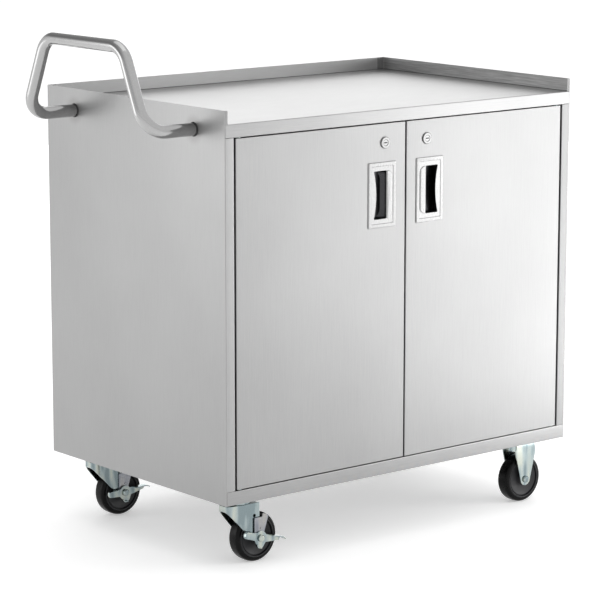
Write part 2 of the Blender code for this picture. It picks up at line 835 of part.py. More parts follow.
def drill_plate_holes(piece, top):
    side = plate_width / 2 - plate_hole_side_inset
    end = plate_length / 2 - plate_hole_end_inset
    for x in (-side, side):
        for y in (-end, end):
            drill(piece, "XY", x, y, plate_hole_radius, top - plate_thickness - overrun,
                  top + overrun, bolt_hole_steps)


def axle_bolt(name, head_face, nut_face, zinc, axle):
    """Bolt whose head bears on head_face at -Y, and whose end stands just past its nut."""
    head_end = head_face - axle_head_height
    tail = nut_face + touch + nut_height + axle_end
    profile = [(0, head_end), (axle_head_radius - axle_end, head_end),
               (axle_head_radius, head_end + axle_end), (axle_head_radius, head_face),
               (axle_radius, head_face), (axle_radius, tail), (0, tail)]
    turned(name + "_axle_bolt", profile, "Y", zinc, axle, small_round_steps)
    nut = prism(name + "_axle_nut", circle(0, 0, nut_flats / math.sqrt(3), 6), "XZ",
                nut_face + touch, nut_face + touch + nut_height, zinc, axle)
    drill(nut, "XZ", 0, 0, axle_radius + touch, nut_face, tail)


def leg_tip(radius, steps=3 * arc_steps):
    """The round lower end of a fork leg, from its back edge round to its front edge."""
    turns = [math.pi + math.pi * step / steps for step in range(steps + 1)]
    return [(radius * math.cos(turn), wheel_radius + radius * math.sin(turn)) for turn in turns]


def swivel_fork(name, zinc, frame):
    """Pressed fork: a crown round the swivel axis, with a nose and two legs down to the axle."""
    half = fork_half_width
    crease = caster_trail - leg_crease_from_axle
    front = caster_trail + leg_front_from_axle
    shoulder = crease - leg_crease_setback
    leg_end = caster_trail + leg_tip_radius + overrun
    path = [(leg_end, half), (crease, half), (shoulder, half - leg_crease_inset),
            (-nose_reach, half - leg_crease_inset - nose_narrowing),
            (-nose_reach, -half + leg_crease_inset + nose_narrowing),
            (shoulder, -half + leg_crease_inset), (crease, -half), (leg_end, -half)]
    wall = bent_sheet(path, fork_sheet, nose_bend_radius)
    fork = prism(name, wall, "XY", 0, crown_top, zinc, frame)

    tip = [(caster_trail + x, z) for x, z in leg_tip(leg_tip_radius)]
    side = [(-nose_reach - overrun, crown_top + overrun),
            (-nose_reach - overrun, crown_top - fork_nose_drop),
            (crease, wheel_radius + leg_back_rise)]
    side += tip
    side += [(front, wheel_radius + leg_front_rise), (front, crown_top + overrun)]
    side = rounded(side, [0, 0, leg_edge_radius] + [0] * len(tip) + [leg_edge_radius, 0])
    keep_shared(fork, prism(name + "_side_shape", side, "XZ", -half - overrun, half + overrun,
                            None, frame))

    inner = half - fork_sheet / 2
    crown_end = front - fork_sheet
    crown = rounded([(-nose_reach + fork_sheet / 2, -inner + leg_crease_inset + nose_narrowing),
                     (shoulder, -inner + leg_crease_inset), (crease, -inner),
                     (crown_end, -inner), (crown_end, inner), (crease, inner),
                     (shoulder, inner - leg_crease_inset),
                     (-nose_reach + fork_sheet / 2, inner - leg_crease_inset - nose_narrowing)],
                    [nose_bend_radius, 0, 0, 0, 0, 0, 0, nose_bend_radius])
    join_on(fork, prism(name + "_crown", crown, "XY", crown_top - fork_sheet, crown_top, None, frame))
    drill(fork, "XY", 0, 0, kingpin_radius + touch, crown_top - fork_sheet - overrun,
          crown_top + overrun)
    drill(fork, "XZ", caster_trail, wheel_radius, axle_radius + touch, -half - overrun,
          half + overrun)
    return drill(fork, "XZ", caster_trail - leg_hole_from_axle, wheel_radius + leg_hole_rise,
                 leg_hole_radius, -half - overrun, -half + fork_sheet + overrun, bolt_hole_steps)


def kingpin(name, zinc, frame):
    """Rivet on the swivel axis, from its head under the crown up to the top of the plate."""
    head_top = crown_top - fork_sheet - touch
    profile = [(0, head_top - kingpin_head_height), (kingpin_head_radius, head_top - kingpin_head_height),
               (kingpin_head_radius, head_top), (kingpin_radius, head_top),
               (kingpin_radius, plate_top), (0, plate_top)]
    turned(name, profile, "Z", zinc, frame, small_round_steps)


def swivel_race(name, zinc, frame):
    """Ball-race cup between the plate and the crown, turned in at its upper edge."""
    low = crown_top + touch
    profile = [(kingpin_radius + touch, low), (race_radius - race_lip, low),
               (race_radius, low + race_lip), (race_radius, race_top), (race_bore, race_top),
               (race_bore, low + race_lip), (kingpin_radius + touch, low + race_lip)]
    turned(name, profile, "Z", zinc, frame, closed=True)


def brake_plate(name, engaged, zinc, axle):
    """Plate beside the fork leg. Its hook stands in front of the leg and carries the brake tab."""
    inner_face = -fork_half_width - touch - (0 if engaged else brake_travel)
    outer_face = inner_face - brake_plate_thickness
    low, back, hook = brake_plate_low_radius, brake_plate_back, brake_hook_from_axle
    outline = rounded([(-back, -low), (low, -low), (low, low),
                       (brake_plate_front, brake_plate_front_rise), (hook, brake_hook_rise),
                       (hook, brake_plate_rise), (-back, brake_plate_rise)],
                      [low / 2, low / 2, brake_corner, brake_corner, brake_corner, brake_corner,
                       brake_corner])
    plate = prism(name, outline, "XZ", outer_face, inner_face, zinc, axle)

    tab_end = -tread_width / 2 - touch - (0 if engaged else brake_travel)
    tab_start, tab_top = hook + brake_tab_inset, brake_hook_rise - brake_tab_drop
    tab = rectangle(tab_start, tab_start + brake_tab_width, tab_top - brake_tab_height, tab_top)
    join_on(plate, prism(name + "_tab", tab, "XZ", outer_face + brake_plate_thickness / 2, tab_end,
                         None, axle))
    stop = circle(brake_stop_from_axle, brake_stop_rise, brake_stop_radius, bolt_hole_steps)
    join_on(plate, prism(name + "_stop", stop, "XZ", outer_face - brake_stop_proud,
                         outer_face + brake_plate_thickness / 2, None, axle))
    return drill(plate, "XZ", 0, 0, axle_radius + touch, outer_face - overrun, inner_face + overrun)


def lever_outline():
    """The lever seen from its side: a humped body, an ear each way and a foot that leans forward."""
    ear, inset = lever_ear_height / 2, tread_sheet / 2
    low, high = lever_ear_rise - ear, lever_ear_rise + ear - inset
    back_end, foot_low = inset - lever_back_reach, inset - lever_foot_drop
    corners = [(back_end, low), (-lever_waist, -ear),
               (lever_foot_lean - lever_foot_half + inset, foot_low),
               (lever_foot_lean + lever_foot_half, foot_low), (lever_waist, -ear),
               (lever_front_reach, low + lever_front_taper), (lever_front_reach, high)]
    radii = [lever_corner, 0, 0, lever_corner, 0, lever_corner / 2, 0]
    steps = 3 * arc_steps
    for step in range(steps + 1):
        turn = math.pi / 2 + lever_hump_half_angle * (2 * step / steps - 1)
        corners.append((lever_body_radius * math.cos(turn), lever_body_radius * math.sin(turn)))
        radii.append(0)
    corners.append((back_end, high))
    radii.append(lever_corner)
    return rounded(corners, radii)


def brake_lever(name, zinc, axle):
    """Rocker pedal on the axle bolt: a flat lever whose ears carry treads bent outwards."""
    inner_face = lever_inner_face
    outer_face = inner_face - lever_thickness
    middle = (inner_face + outer_face) / 2
    lever = prism(name, lever_outline(), "XZ", outer_face, inner_face, zinc, axle)

    top = lever_ear_rise + lever_ear_height / 2
    bottom = lever_ear_rise - lever_ear_height / 2
    front_end = lever_front_reach + front_tread_run
    front_tread = [(front_end, top - front_tread_drop), (lever_front_reach, top), (tread_start, top)]
    back_tread = [(-tread_start, top), (-lever_back_reach, top), (-lever_back_reach, bottom + lever_corner)]
    foot_back = Vector((lever_foot_lean - lever_foot_half, -lever_foot_drop))
    lip_start = foot_back.lerp(Vector((-lever_waist, -lever_ear_height / 2)), lever_lip_share)
    lip = [lip_start, foot_back, (lever_foot_lean + lever_foot_half - lever_corner, -lever_foot_drop)]
    strips = {"front_tread": (front_tread, front_tread_reach), "back_tread": (back_tread, back_tread_reach),
              "foot_lip": (lip, lever_lip_reach)}
    for strip, (line, reach) in strips.items():
        join_on(lever, prism(name + "_" + strip, bent_sheet(line, tread_sheet, tread_sheet), "XZ",
                             outer_face - reach, middle, None, axle))
    return drill(lever, "XZ", 0, 0, axle_radius + touch, outer_face - overrun, inner_face + overrun)


def swivel_caster(name, y, engaged, finishes, cabinet):
    zinc, rubber, nylon = (finishes[key] for key in ("zinc", "rubber", "nylon"))
    swivel = empty(name + "_swivel_axis", (swivel_inset, y, 0), cabinet)
    plate = top_plate(name + "_caster_plate", plate_top, zinc, swivel)
    drill_plate_holes(plate, plate_top)
    drill(plate, "XY", 0, 0, kingpin_radius + touch, plate_bottom - overrun, plate_top + overrun)
    kingpin(name + "_kingpin", zinc, swivel)
    swivel_race(name + "_swivel_race", zinc, swivel)
    swivel_fork(name + "_fork", zinc, swivel)

    axle = empty(name + "_axle", (caster_trail, 0, wheel_radius), swivel)
    wheel(name + "_wheel", rubber, nylon, axle)
    head_face = lever_inner_face - lever_thickness - touch
    axle_bolt(name, head_face, fork_half_width, zinc, axle)
    brake_plate(name + "_brake_plate", engaged, zinc, axle)
    lever_turn = empty(name + "_lever_turn", (0, 0, 0), axle)
    lever_turn.rotation_euler = (0, released_lever_turn - (lever_travel if engaged else 0), 0)
    brake_lever(name + "_brake_lever", zinc, lever_turn)


def rigid_fork(name, zinc, frame):
    """Mounting plate and, pressed down from it, an arch whose two legs swell and taper."""
    half = fork_half_width
    web_top = plate_top - plate_thickness / 2
    path = [(-half, 0), (-half, web_top), (half, web_top), (half, 0)]
    wall = bent_sheet(path[::-1], fork_sheet, rigid_arch_radius)
    fork = prism(name, wall, "YZ", -rigid_leg_shoulder - overrun, rigid_leg_shoulder + overrun,
                 zinc, frame)
    shoulder = wheel_radius + rigid_leg_shoulder_rise
    tip = leg_tip(rigid_leg_tip)
    side = tip + [(rigid_leg_shoulder, shoulder), (rigid_leg_top, plate_top + overrun),
                  (-rigid_leg_top, plate_top + overrun), (-rigid_leg_shoulder, shoulder)]
    side = rounded(side, [0] * len(tip) + [rigid_leg_shoulder_radius, 0, 0,
                                           rigid_leg_shoulder_radius])
    keep_shared(fork, prism(name + "_side_shape", side, "XZ", -half - overrun, half + overrun,
                            None, frame))
    join_on(fork, top_plate(name + "_plate", plate_top, None, frame))
    drill_plate_holes(fork, plate_top)
    return drill(fork, "XZ", 0, wheel_radius, axle_radius + touch, -half - overrun, half + overrun)


def rigid_caster(name, y, finishes, cabinet):
    zinc, rubber, nylon = (finishes[key] for key in ("zinc", "rubber", "nylon"))
    frame = empty(name + "_caster_frame", (width - rigid_inset, y, 0), cabinet)
    rigid_fork(name + "_fork", zinc, frame)
    axle = empty(name + "_axle", (0, 0, wheel_radius), frame)
    wheel(name + "_wheel", rubber, nylon, axle)
    axle_bolt(name, -fork_half_width - touch, fork_half_width, zinc, axle)


def build():
    for leftover in list(bpy.data.objects):
        bpy.data.objects.remove(leftover)

    finishes = {"brushed_steel": finish("brushed_stainless", (0.62, 0.62, 0.61), 0.34, 1.0),
                "pull_steel": finish("bright_stainless", (0.74, 0.74, 0.73), 0.22, 1.0),
                "chrome": finish("chrome", (0.78, 0.78, 0.78), 0.12, 1.0),
                "zinc": finish("zinc_plate", (0.60, 0.66, 0.65), 0.30, 1.0),
                "rubber": finish("black_rubber", (0.018, 0.018, 0.019), 0.55, 0.0),
                "nylon": finish("dark_grey_nylon", (0.060, 0.060, 0.064), 0.50, 0.0)}
    steel = finishes["brushed_steel"]

    corner = ((handle_overhang - width) / 2, (front_overhang - depth) / 2, 0)
    cabinet = empty("cabinet_corner", corner)
    side_panel("left_side_panel", True, steel, cabinet)
    side_panel("right_side_panel", False, steel, cabinet)
    back_panel(steel, cabinet)
    worktop(steel, cabinet)
    floor_pan(steel, cabinet)
    middle_shelf(steel, cabinet)
    worktop_stiffener(steel, cabinet)
    caster_channel("left_caster_channel", swivel_inset, steel, cabinet)
    caster_channel("right_caster_channel", width - rigid_inset, steel, cabinet)
    push_handle(steel, cabinet)
    for name, y in zip(("front_handle_bolt", "rear_handle_bolt"), handle_ends):
        handle_bolt(name, y, finishes["zinc"], cabinet)

    door("left", 1, finishes, cabinet)
    door("right", -1, finishes, cabinet)

    rear = depth - back_caster_inset
    swivel_caster("front_left", front_caster_inset, False, finishes, cabinet)
    swivel_caster("rear_left", rear, True, finishes, cabinet)
    rigid_caster("front_right", front_caster_inset, finishes, cabinet)
    rigid_caster("rear_right", rear, finishes, cabinet)


build()
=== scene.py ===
import json
import math

import bpy
from mathutils import Matrix, Vector


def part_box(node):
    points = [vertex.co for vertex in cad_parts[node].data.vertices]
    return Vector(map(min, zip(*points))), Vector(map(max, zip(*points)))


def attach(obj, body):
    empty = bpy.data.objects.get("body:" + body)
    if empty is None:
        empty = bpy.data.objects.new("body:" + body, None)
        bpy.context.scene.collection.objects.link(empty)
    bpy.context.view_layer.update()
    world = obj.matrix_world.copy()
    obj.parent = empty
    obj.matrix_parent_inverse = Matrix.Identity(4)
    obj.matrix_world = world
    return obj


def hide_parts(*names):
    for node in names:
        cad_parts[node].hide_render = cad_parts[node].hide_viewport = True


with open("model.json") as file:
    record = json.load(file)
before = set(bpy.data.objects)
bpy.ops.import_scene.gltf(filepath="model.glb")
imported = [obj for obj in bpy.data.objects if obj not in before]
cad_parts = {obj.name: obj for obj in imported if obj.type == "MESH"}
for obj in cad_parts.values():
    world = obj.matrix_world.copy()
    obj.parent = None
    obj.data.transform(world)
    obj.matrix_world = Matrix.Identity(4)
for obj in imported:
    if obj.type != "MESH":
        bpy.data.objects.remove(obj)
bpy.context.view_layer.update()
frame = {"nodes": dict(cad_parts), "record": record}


# The studio: a plain pale floor inside a white surround whose ceiling darkens away from the light,
# with a broad softbox at the front right, one by its foot that lights the floor, and weaker ones at
# the handle end, behind and overhead. Sheet steel shows mostly what it reflects.
def linear(hex_colour):
    """An sRGB hex colour as linear red, green, blue and an alpha of one."""
    channels = [int(hex_colour[start:start + 2], 16) / 255 for start in (1, 3, 5)]
    return (*[channel / 12.92 if channel <= 0.04045 else ((channel + 0.055) / 1.055) ** 2.4
              for channel in channels], 1.0)


def add_node(tree, kind, settings, inputs):
    """A node with its settings; an input takes a number, a colour or another node's socket."""
    node = tree.nodes.new(kind)
    for setting, value in settings.items():
        setattr(node, setting, value)
    for key, source in inputs.items():
        if isinstance(source, bpy.types.NodeSocket):
            tree.links.new(source, node.inputs[key])
        else:
            node.inputs[key].default_value = source
    return node


# The floor is matt paint. It gives off a little light of its own, so that it stays an even white
# round the cart's soft shadow.
floor_half_width = 30.0
bpy.ops.object.select_all(action="DESELECT")
bpy.ops.mesh.primitive_plane_add(size=2 * floor_half_width, location=(0, 0, 0))
studio_floor = bpy.context.object
studio_floor.name = "studio_floor"
floor_paint = bpy.data.materials.new("pale_studio_paint")
floor_paint.use_nodes = True
floor_shader = floor_paint.node_tree.nodes["Principled BSDF"]
floor_shader.inputs["Base Color"].default_value = linear("#F6F6F6")
floor_shader.inputs["Roughness"].default_value = 0.9
floor_shader.inputs["Emission Color"].default_value = linear("#FFFFFF")
floor_shader.inputs["Emission Strength"].default_value = 0.34
studio_floor.data.materials.append(floor_paint)

bpy.context.scene.view_settings.view_transform = "Standard"
world = bpy.data.worlds.new("studio_surround")
world.use_nodes = True
sky_tree = world.node_tree
sky_tree.nodes["Background"].inputs["Color"].default_value = linear("#FFFFFF")
sky_direction = add_node(sky_tree, "ShaderNodeTexCoord", {}, {}).outputs["Generated"]
sky_parts = add_node(sky_tree, "ShaderNodeSeparateXYZ", {}, {"Vector": sky_direction})
# The wall fades into the ceiling between two heights, each the upward part of a direction. The
# ceiling fades from its dark end to its bright one by how nearly a direction faces the bright side.
bright_side = (0.45, -0.83, 0.30)
dark_end, bright_end = -0.9, 0.7
darkest_ceiling = 0.28
wall_foot, wall_top = 0.10, 0.42
towards_light = add_node(sky_tree, "ShaderNodeVectorMath", {"operation": "DOT_PRODUCT"},
                         {0: sky_direction, 1: bright_side})
ceiling = add_node(sky_tree, "ShaderNodeMapRange", {"interpolation_type": "SMOOTHSTEP"},
                   {"Value": towards_light.outputs["Value"], "From Min": dark_end,
                    "From Max": bright_end, "To Min": darkest_ceiling, "To Max": 1.0})
wall = add_node(sky_tree, "ShaderNodeMapRange", {"interpolation_type": "SMOOTHSTEP"},
                {"Value": sky_parts.outputs["Z"], "From Min": wall_foot, "From Max": wall_top,
                 "To Min": 1.0, "To Max": 0.0})
surround = add_node(sky_tree, "ShaderNodeMix", {}, {0: wall.outputs[0], 2: ceiling.outputs[0],
                                                    3: 1.0})
sky_tree.links.new(surround.outputs[0], sky_tree.nodes["Background"].inputs["Strength"])
bpy.context.scene.world = world

# Each softbox: where it stands, what it points at, its width in metres and its power in watts. The
# floor's points a little off straight down, because a vertical aim leaves its turn open.
softboxes = {
    "key_softbox": ((2.3, -2.05, 0.65), (0.5, -0.4, 0.35), 1.4, 18.2),
    "floor_softbox": ((1.6, -1.1, 0.3), (1.6, -1.11, 0.0), 0.8, 13.0),
    "side_softbox": ((-2.6, 1.6, 0.8), (-0.4, -0.1, 0.5), 1.4, 10.0),
    "back_softbox": ((3.4, 4.6, 1.9), (0.0, 0.0, 0.9), 3.8, 54.0),
    "top_softbox": ((0.0, 0.5, 4.5), (0.0, 0.0, 0.5), 3.5, 26.0),
}
for name, (place, target, size, power) in softboxes.items():
    light_data = bpy.data.lights.new(name, "AREA")
    light_data.shape = "SQUARE"
    light_data.size = size
    light_data.energy = power
    light = bpy.data.objects.new(name, light_data)
    light.location = place
    light.rotation_euler = (Vector(target) - Vector(place)).to_track_quat("-Z", "Y").to_euler()
    bpy.context.collection.objects.link(light)

# The camera stands in front of the cart's handle end, about 5.5 m away with a long lens, a little
# above the worktop, as the photograph was taken.
camera_data = bpy.data.cameras.new("camera")
camera = bpy.data.objects.new("camera", camera_data)
bpy.context.collection.objects.link(camera)
camera.location = (-3.52695, -4.3434, 1.5157)
camera_yaw = math.radians(39.331)
camera_pitch = math.radians(10.704)
focal_length_pixels = 2727.7
picture_pixels = 600
camera_data.sensor_width = 36.0
camera_data.lens = camera_data.sensor_width * focal_length_pixels / picture_pixels
camera_data.clip_end = 100.0
sight = Vector((math.sin(camera_yaw) * math.cos(camera_pitch),
                math.cos(camera_yaw) * math.cos(camera_pitch), -math.sin(camera_pitch)))
camera.rotation_euler = sight.to_track_quat("-Z", "Y").to_euler()
bpy.context.scene.camera = camera


# The cabinet shell: side panels and back folded from 1.2 mm stainless steel with a No. 4 brushed
# finish, spot-welded at their flanges. The brushing spreads reflections into a soft sheen, and
# each rounded fold catches a thin line of light.
def principled(name, metallic, roughness, colour):
    """A material with its shader; values that are the same all over are set on the shader."""
    material = bpy.data.materials.new(name)
    material.use_nodes = True
    shader = material.node_tree.nodes["Principled BSDF"]
    shader.inputs["Metallic"].default_value = metallic
    shader.inputs["Roughness"].default_value = roughness
    shader.inputs["Base Color"].default_value = linear(colour)
    return material, material.node_tree, shader


# A noise texture's values lie mostly between these two
noise_low, noise_high = 0.3, 0.7


def brushed_steel(name, grain_axis, dark, light, roughness, scratch_length, scratch_depth):
    """Steel brushed along one axis: long scratches, drawn 0.8 mm wide so that they show, over a
    slow unevenness of the sheet. Both change the colour a little; the scratches also the gloss."""
    material, tree, shader = principled(name, 1.0, roughness, light)
    place = add_node(tree, "ShaderNodeTexCoord", {}, {}).outputs["Object"]
    scratch_width = 0.0008
    cloud_size = 0.30
    scratch_share = 1.6
    darkest_shade, lightest_shade = 0.6, 2.0
    gloss_spread = 0.05
    scale = [1 / scratch_width] * 3
    scale["XYZ".index(grain_axis)] = 1 / scratch_length
    along = add_node(tree, "ShaderNodeMapping", {}, {"Vector": place, "Scale": scale})
    scratches = add_node(tree, "ShaderNodeTexNoise", {}, {"Vector": along.outputs[0], "Scale": 1.0,
                                                          "Detail": 3.0, "Roughness": 0.7})
    clouds = add_node(tree, "ShaderNodeTexNoise", {}, {"Vector": place, "Scale": 1 / cloud_size,
                                                       "Detail": 2.0, "Roughness": 0.5})
    shade = add_node(tree, "ShaderNodeMath", {"operation": "MULTIPLY_ADD"},
                     {0: scratches.outputs[0], 1: scratch_share, 2: clouds.outputs[0]})
    tone = add_node(tree, "ShaderNodeMapRange", {},
                    {"Value": shade.outputs[0], "From Min": darkest_shade,
                     "From Max": lightest_shade})
    colour = add_node(tree, "ShaderNodeMix", {"data_type": "RGBA"},
                      {0: tone.outputs[0], 6: linear(dark), 7: linear(light)})
    tree.links.new(colour.outputs[2], shader.inputs["Base Color"])
    gloss = add_node(tree, "ShaderNodeMapRange", {},
                     {"Value": scratches.outputs[0], "From Min": noise_low, "From Max": noise_high,
                      "To Min": roughness - gloss_spread, "To Max": roughness + gloss_spread})
    tree.links.new(gloss.outputs[0], shader.inputs["Roughness"])
    relief = add_node(tree, "ShaderNodeBump", {}, {"Strength": 0.35, "Distance": scratch_depth,
                                                   "Height": scratches.outputs[0]})
    tree.links.new(relief.outputs[0], shader.inputs["Normal"])
    return material


def tint_near(material, centre, near, far, amount, colour):
    """Tints a material round one place: fully out to near, then fading away by far."""
    tree = material.node_tree
    base = tree.nodes["Principled BSDF"].inputs["Base Color"]
    place = add_node(tree, "ShaderNodeTexCoord", {}, {}).outputs["Object"]
    distance = add_node(tree, "ShaderNodeVectorMath", {"operation": "DISTANCE"},
                        {0: place, 1: centre})
    fade = add_node(tree, "ShaderNodeMapRange", {"interpolation_type": "SMOOTHSTEP"},
                    {"Value": distance.outputs["Value"], "From Min": near, "From Max": far,
                     "To Min": amount, "To Max": 0.0})
    tint = add_node(tree, "ShaderNodeMix", {"data_type": "RGBA"},
                    {0: fade.outputs[0], 6: base.links[0].from_socket, 7: linear(colour)})
    tree.links.new(tint.outputs[2], base)


def edit_alone(piece):
    """Selects one piece, all over, and opens it in edit mode."""
    bpy.ops.object.select_all(action="DESELECT")
    piece.select_set(True)
    bpy.context.view_layer.objects.active = piece
    bpy.ops.object.mode_set(mode="EDIT")
    bpy.ops.mesh.select_all(action="SELECT")


sharp_angle = math.radians(30)
smooth_angle = math.radians(40)


def round_edges(piece, width, segments=2, flat_faces=True):
    """Rounds every sharp edge, and keeps the broad faces between the edges flat."""
    bpy.ops.object.mode_set(mode="OBJECT")
    bevel = piece.modifiers.new("rounded_edges", "BEVEL")
    bevel.width = width
    bevel.segments = segments
    bevel.limit_method = "ANGLE"
    bevel.angle_limit = sharp_angle
    bpy.ops.object.modifier_apply(modifier=bevel.name)
    bpy.ops.object.shade_smooth_by_angle(angle=smooth_angle)
    if flat_faces:
        facing = piece.modifiers.new("flat_faces", "WEIGHTED_NORMAL")
        facing.keep_sharp = True
        bpy.ops.object.modifier_apply(modifier=facing.name)


body_of = {node: body for body, members in frame["record"]["behaviour"]["bodies"].items()
           for node in members}


def fit(piece, material, slot, body, *replaced):
    """Gives a finished piece its material, and hangs it on the body that it moves with."""
    piece.data.materials.clear()
    piece.data.materials.append(material)
    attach(piece, body)
    if replaced:
        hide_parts(*replaced)


merge_distance = 0.00001
flat_angle = math.radians(1)


def finish_node(node, edge_width, material, slot, segments=2):
    """A copy of a CAD node, its loose triangles merged into faces, with its edges rounded."""
    piece = bpy.data.objects.new(node + "_finished", frame["nodes"][node].data.copy())
    bpy.context.collection.objects.link(piece)
    edit_alone(piece)
    bpy.ops.mesh.remove_doubles(threshold=merge_distance)
    bpy.ops.mesh.dissolve_limited(angle_limit=flat_angle)
    round_edges(piece, edge_width, segments)
    fit(piece, material, slot, body_of[node], node)


# The back panel: one folded sheet with the rear part of the rim. It is brushed level, along the
# cart, and is the palest sheet.
fold_edge = 0.00035
sheet_scratch = 0.045
sheet_relief = 0.00003
back_steel = brushed_steel("brushed_stainless_back", "X", "#A4A4A4", "#B6B6B6", roughness=0.38,
                           scratch_length=sheet_scratch, scratch_depth=sheet_relief)
finish_node("back_panel", fold_edge, back_steel, "brushed_stainless")


# The right side panel comes from a slightly darker sheet. Inside the tray, where its rim looks to
# the left, it is painted paler, a painted light, and streaked level like brushing.
def painted_light_rim(material, rim_foot, dark, light):
    """Paints a material paler where it looks to the left above the rim's foot: painted light,
    streaked level like brushing. The streaks are drawn 1.8 mm wide so that they show."""
    tree = material.node_tree
    base = tree.nodes["Principled BSDF"].inputs["Base Color"]
    coordinates = add_node(tree, "ShaderNodeTexCoord", {}, {})
    streak_width, streak_length = 0.0018, 0.050
    along = add_node(tree, "ShaderNodeMapping", {},
                     {"Vector": coordinates.outputs["Object"],
                      "Scale": (1 / streak_width, 1 / streak_length, 1 / streak_width)})
    streaks = add_node(tree, "ShaderNodeTexNoise", {}, {"Vector": along.outputs[0], "Scale": 1.0,
                                                        "Detail": 2.0})
    spread = add_node(tree, "ShaderNodeMapRange", {},
                      {"Value": streaks.outputs[0], "From Min": noise_low,
                       "From Max": noise_high})
    pale = add_node(tree, "ShaderNodeMix", {"data_type": "RGBA"},
                    {0: spread.outputs[0], 6: linear(dark), 7: linear(light)})
    place = add_node(tree, "ShaderNodeSeparateXYZ", {}, {"Vector": coordinates.outputs["Object"]})
    facing = add_node(tree, "ShaderNodeSeparateXYZ", {}, {"Vector": coordinates.outputs["Normal"]})
    above = add_node(tree, "ShaderNodeMath", {"operation": "GREATER_THAN"},
                     {0: place.outputs["Z"], 1: rim_foot})
    looks_left = -0.5
    leftward = add_node(tree, "ShaderNodeMath", {"operation": "LESS_THAN"},
                        {0: facing.outputs["X"], 1: looks_left})
    inside = add_node(tree, "ShaderNodeMath", {"operation": "MULTIPLY"},
                      {0: above.outputs[0], 1: leftward.outputs[0]})
    tone = add_node(tree, "ShaderNodeMix", {"data_type": "RGBA"},
                    {0: inside.outputs[0], 6: base.links[0].from_socket, 7: pale.outputs[2]})
    tree.links.new(tone.outputs[2], base)


right_steel = brushed_steel("brushed_stainless_right", "Z", "#828282", "#929292", roughness=0.38,
                            scratch_length=sheet_scratch, scratch_depth=sheet_relief)
# The rim's inside is painted paler here: painted light.
painted_light_rim(right_steel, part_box("worktop")[1].z, "#A2A2A2", "#C6C6C6")
finish_node("right_side_panel", fold_edge, right_steel, "brushed_stainless")

# The left side panel carries the handle, and is brushed upright. Round each foot of the tube its
# colour is softly darkened: painted shade where the tube meets the panel.
left_steel = brushed_steel("brushed_stainless_foot_shaded", "Z", "#949494", "#A6A6A6",
                           roughness=0.38, scratch_length=sheet_scratch,
                           scratch_depth=sheet_relief)
handle_low, handle_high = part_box("push_handle")
tube_radius = 0.0127
foot_shade_reach = 0.034
foot_shade_strength = 0.35
# A soft dark patch round each foot of the tube: painted shade.
for end_y in (handle_low.y + tube_radius, handle_high.y - tube_radius):
    tint_near(left_steel, (handle_high.x, end_y, handle_low.z + tube_radius), tube_radius,
              foot_shade_reach, foot_shade_strength, "#6E6C69")
finish_node("left_side_panel", fold_edge, left_steel, "brushed_stainless")

# Worktop, cabinet floor, middle shelf and the hat-shaped stiffener: pans of the same sheet, let in
# between the sides. They are brushed along the cart, a little glossier, so that light runs along
# them in level streaks. The channels that carry the casters are 2 mm thick.
level_steel = brushed_steel("brushed_stainless_level", "X", "#8F8F8F", "#A1A1A1", roughness=0.33,
                            scratch_length=sheet_scratch, scratch_depth=sheet_relief)
for node in ("worktop", "floor_pan", "middle_shelf", "worktop_stiffener", "left_caster_channel",
             "right_caster_channel"):
    finish_node(node, fold_edge, level_steel, "brushed_stainless")


# The worktop's seam shade: a thin near-black bead laid into the seam between the worktop and the
# upstands on three sides. It stands in for the shade in the seam: painted shade. It draws a soft
# dull line round the tray.
def moulded(name, dark, light, roughness, ior, cloud_size, grain_size, grain_depth):
    """A moulded plastic or rubber: uneven tone and gloss, and the fine grain of its mould."""
    material, tree, shader = principled(name, 0.0, roughness, light)
    shader.inputs["IOR"].default_value = ior
    gloss_spread = 0.06
    place = add_node(tree, "ShaderNodeTexCoord", {}, {}).outputs["Object"]
    clouds = add_node(tree, "ShaderNodeTexNoise", {}, {"Vector": place, "Scale": 1 / cloud_size,
                                                       "Detail": 3.0})
    colour = add_node(tree, "ShaderNodeMix", {"data_type": "RGBA"},
                      {0: clouds.outputs[0], 6: linear(dark), 7: linear(light)})
    tree.links.new(colour.outputs[2], shader.inputs["Base Color"])
    gloss = add_node(tree, "ShaderNodeMapRange", {},
                     {"Value": clouds.outputs[0], "From Min": noise_low, "From Max": noise_high,
                      "To Min": roughness - gloss_spread, "To Max": roughness + gloss_spread})
    tree.links.new(gloss.outputs[0], shader.inputs["Roughness"])
    grain = add_node(tree, "ShaderNodeTexNoise", {}, {"Vector": place, "Scale": 1 / grain_size})
    relief = add_node(tree, "ShaderNodeBump", {}, {"Strength": 0.4, "Distance": grain_depth,
                                                   "Height": grain.outputs[0]})
    tree.links.new(relief.outputs[0], shader.inputs["Normal"])
    return material


seam_shade_width = 0.0016
seam_shade_height = 0.0006
worktop_low, worktop_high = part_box("worktop")
bpy.ops.object.select_all(action="DESELECT")
bpy.ops.mesh.primitive_plane_add(size=1, location=(0, 0, 0))
seam_shade_bead = bpy.context.object
seam_shade_bead.name = "worktop_seam_shade"
seam_shade_bead.scale = (worktop_high.x - worktop_low.x, worktop_high.y - worktop_low.y, 1)
seam_shade_bead.location = ((worktop_low.x + worktop_high.x) / 2, (worktop_low.y + worktop_high.y) / 2,
                 worktop_high.z)
bpy.ops.object.transform_apply(location=True, rotation=True, scale=True)
edit_alone(seam_shade_bead)
bpy.ops.mesh.inset(thickness=seam_shade_width, depth=0)
bpy.ops.mesh.delete(type="FACE")
bpy.ops.object.mode_set(mode="OBJECT")
